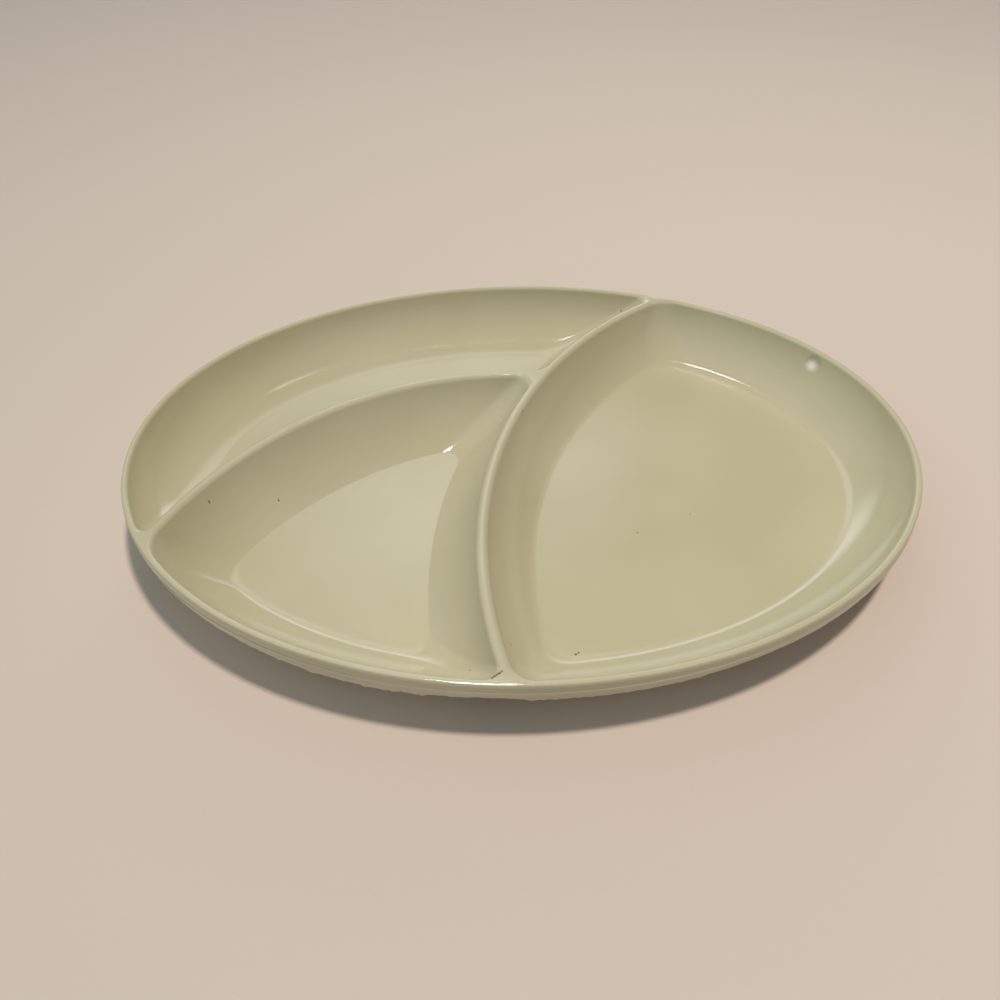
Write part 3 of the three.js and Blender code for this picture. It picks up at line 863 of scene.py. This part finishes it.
class PLATTER_OT_feet(bpy.types.Operator):
    """Builds the low foot ring under each well"""

    bl_idname = "platter.feet"
    bl_label = "Foot rings"

    def execute(self, context):
        sizes = context.scene.platter_sizes
        plan = PlatterPlan(sizes)
        tree = foot_tree()
        # Each ring reaches a little way into the floor above it.
        sunk = sizes.wall / 8
        for name, well in plan.wells.items():
            line = plan.outline(well, plan.floor, 0.0, sizes.foot_inset + sizes.foot_width / 2)
            path = path_mesh(f"{name}_foot_path", line, (sizes.foot_height + sunk) / 2)
            mesh = grow(tree, path, {
                "Width": sizes.foot_width, "Height": sizes.foot_height + sunk,
                "Finish": melamine_material()})
            mesh.name = f"{name}_foot_ring"
            dress(mesh, (f"{name}_foot",))
        return {"FINISHED"}


class PLATTER_OT_flash(bpy.types.Operator):
    """Builds the thin moulding flash left below the skirt"""

    bl_idname = "platter.flash"
    bl_label = "Moulding flash"

    def execute(self, context):
        sizes = context.scene.platter_sizes
        plan = PlatterPlan(sizes)
        # Three quarters of the fin's root lie inside the skirt.
        root = sizes.lip_width / 3
        line = plan.oval((sizes.flash_thickness + sizes.skirt_round) / 2, FLASH_SIDES)
        path = path_mesh("flash_path", line, plan.seat + root / 4)
        mesh = grow(flash_tree(), path, {
            "Oval": (sizes.length / 2, sizes.width / 2, 1.0), "Reach": sizes.flash_reach, "Root": root,
            "Thickness": sizes.flash_thickness, "Finish": melamine_material()})
        mesh.name = "moulding_flash"
        dress(mesh, ())
        return {"FINISHED"}


def table_material():
    """Smooth matt card: an even pale floor that takes a soft shadow."""
    material = bpy.data.materials.new("matt card")
    material.use_nodes = True
    tree = material.node_tree
    tree.nodes.clear()
    place = add_node(tree, "ShaderNodeTexCoord").outputs["Object"]

    # Fibre in the card, drawn coarse enough to show.
    fibre = add_node(tree, "ShaderNodeTexNoise", {
        "Vector": place, "Scale": 1 / FIBRE_SIZE, "Detail": 2.0})
    surface = add_node(tree, "ShaderNodeBump", {
        "Strength": 0.3, "Distance": FIBRE_HEIGHT, "Height": fibre.outputs["Fac"]})
    shader = add_node(tree, "ShaderNodeBsdfPrincipled", {
        "Base Color": (*bpy.context.scene.platter_finish.table, 1), "Roughness": 0.9,
        "Normal": surface.outputs["Normal"], "Specular IOR Level": 0.2})
    add_node(tree, "ShaderNodeOutputMaterial", {"Surface": shader.outputs["BSDF"]})
    return material


class PLATTER_OT_stage(bpy.types.Operator):
    """Builds the pale floor, the soft lights and the camera"""

    bl_idname = "platter.stage"
    bl_label = "Stage"

    def execute(self, context):
        self.lay_table(context.scene)
        self.hang_lights(context.scene)
        self.light_room(context.scene)
        self.place_camera(context.scene)
        return {"FINISHED"}

    @staticmethod
    def lay_table(scene):
        side = TABLE_HALF_SIDE
        corners = [(-side, -side, 0), (side, -side, 0), (side, side, 0), (-side, side, 0)]
        mesh = bpy.data.meshes.new("table")
        mesh.from_pydata(corners, [], [(0, 1, 2, 3)])
        mesh.materials.append(table_material())
        table = bpy.data.objects.new("table", mesh)
        scene.collection.objects.link(table)

    def hang_lights(self, scene):
        """A soft key light that gives the shadow, and two lights that show in the gloss alone."""
        stage = scene.platter_stage
        key = self.add_light("key softbox", *KEY_LIGHT, stage.key_power)
        key.visible_glossy = False
        key.data.color = stage.key_tint
        lamp = self.add_light("small lamp", *SMALL_LAMP, stage.lamp_power)
        lamp.visible_diffuse = False
        lip_light = self.add_light("lip light", *LIP_LIGHT, stage.lip_power)
        lip_light.data.spread = LIP_LIGHT_SPREAD
        lip_light.visible_diffuse = False

    @staticmethod
    def light_room(scene):
        """A dim room with soft lights at the left, front and back and a low band of light at the back."""
        stage = scene.platter_stage
        world = bpy.data.worlds.new("room light")
        world.use_nodes = True
        tree = world.node_tree
        tree.nodes.clear()
        way = add_node(tree, "ShaderNodeTexCoord").outputs["Generated"]
        strength = stage.surround
        for name, (turn, height, full, gone) in GLOWS.items():
            aim = Vector((1, 0, 0))
            aim.rotate(Euler((0, -radians(height), radians(turn))))
            towards = add_node(tree, "ShaderNodeVectorMath", {0: way, 1: aim}, operation="DOT_PRODUCT")
            glow = add_node(tree, "ShaderNodeMapRange", {
                "Value": towards.outputs["Value"], "From Min": cos(radians(gone)),
                "From Max": cos(radians(full)), "To Max": getattr(stage, name)},
                interpolation_type="SMOOTHSTEP")
            both = add_node(tree, "ShaderNodeMath", {
                0: strength, 1: glow.outputs["Result"]}, operation="ADD")
            strength = both.outputs["Value"]

        axes = add_node(tree, "ShaderNodeSeparateXYZ", {"Vector": way})
        band = stage.low_glow
        for axis, (start, end) in (
                ("Z", [sin(radians(a)) for a in LOW_GLOW_RISE]),
                ("Z", [sin(radians(a)) for a in reversed(LOW_GLOW_FALL)]),
                ("Y", [cos(radians(a)) for a in reversed(LOW_GLOW_BREADTH)])):
            part = add_node(tree, "ShaderNodeMapRange", {
                "Value": axes.outputs[axis], "From Min": start, "From Max": end},
                interpolation_type="SMOOTHSTEP")
            shaped = add_node(tree, "ShaderNodeMath", {
                0: band, 1: part.outputs["Result"]}, operation="MULTIPLY")
            band = shaped.outputs["Value"]
        total = add_node(tree, "ShaderNodeMath", {0: strength, 1: band}, operation="ADD")
        room = add_node(tree, "ShaderNodeBackground", {
            "Color": (*stage.room_tint, 1), "Strength": total.outputs["Value"]})
        backdrop = add_node(tree, "ShaderNodeBackground", {
            "Color": (*scene.platter_finish.table, 1), "Strength": BACKDROP_SHARE})
        rays = add_node(tree, "ShaderNodeLightPath")
        mixed = add_node(tree, "ShaderNodeMixShader", {
            0: rays.outputs["Is Camera Ray"], 1: room.outputs["Background"],
            2: backdrop.outputs["Background"]})
        add_node(tree, "ShaderNodeOutputWorld", {"Surface": mixed.outputs["Shader"]})
        scene.world = world
        scene.view_settings.view_transform = "Standard"

    @staticmethod
    def place_camera(scene):
        stage = scene.platter_stage
        camera = bpy.data.objects.new("camera", bpy.data.cameras.new("camera"))
        camera.data.sensor_width = SENSOR_WIDTH
        camera.data.lens = stage.lens
        camera.data.clip_start = NEAREST_SHOWN
        camera.location = stage.camera
        camera.rotation_euler = (pi / 2 - stage.pitch, 0, stage.heading)
        scene.collection.objects.link(camera)
        scene.camera = camera

    @staticmethod
    def add_light(name, place, aim, size, power):
        light = bpy.data.lights.new(name, "AREA")
        light.shape = "DISK"
        light.size = size
        light.energy = power
        lamp = bpy.data.objects.new(name, light)
        lamp.location = place
        lamp.rotation_euler = (Vector(aim) - Vector(place)).to_track_quat("-Z", "Y").to_euler()
        bpy.context.scene.collection.objects.link(lamp)
        return lamp


class PLATTER_PT_sidebar(bpy.types.Panel):
    """Sizes, finish and building steps of the platter"""

    bl_idname = "PLATTER_PT_sidebar"
    bl_label = "Divided platter"
    bl_space_type = "VIEW_3D"
    bl_region_type = "UI"
    bl_category = "Platter"

    def draw(self, context):
        column = self.layout.column()
        for step in STEPS:
            column.operator(step.bl_idname)
        for group_name in GROUPS:
            group = getattr(context.scene, group_name)
            column.separator()
            for name in group.__annotations__:
                column.prop(group, name)


STEPS = (PLATTER_OT_ridges, PLATTER_OT_wells, PLATTER_OT_feet, PLATTER_OT_flash, PLATTER_OT_stage)
GROUPS = {
    "platter_sizes": PlatterSizes,
    "platter_finish": PlatterFinish,
    "platter_stage": PlatterStage,
}


def register():
    for group in GROUPS.values():
        bpy.utils.register_class(group)
    for name, group in GROUPS.items():
        setattr(bpy.types.Scene, name, bpy.props.PointerProperty(type=group))
    for step in (*STEPS, PLATTER_PT_sidebar):
        bpy.utils.register_class(step)


def unregister():
    for step in reversed((*STEPS, PLATTER_PT_sidebar)):
        bpy.utils.unregister_class(step)
    for name in GROUPS:
        delattr(bpy.types.Scene, name)
    for group in reversed(GROUPS.values()):
        bpy.utils.unregister_class(group)


def main():
    register()
    bpy.ops.platter.ridges()
    bpy.ops.platter.wells()
    bpy.ops.platter.feet()
    bpy.ops.platter.flash()
    bpy.ops.platter.stage()


if __name__ == "__main__":
    main()
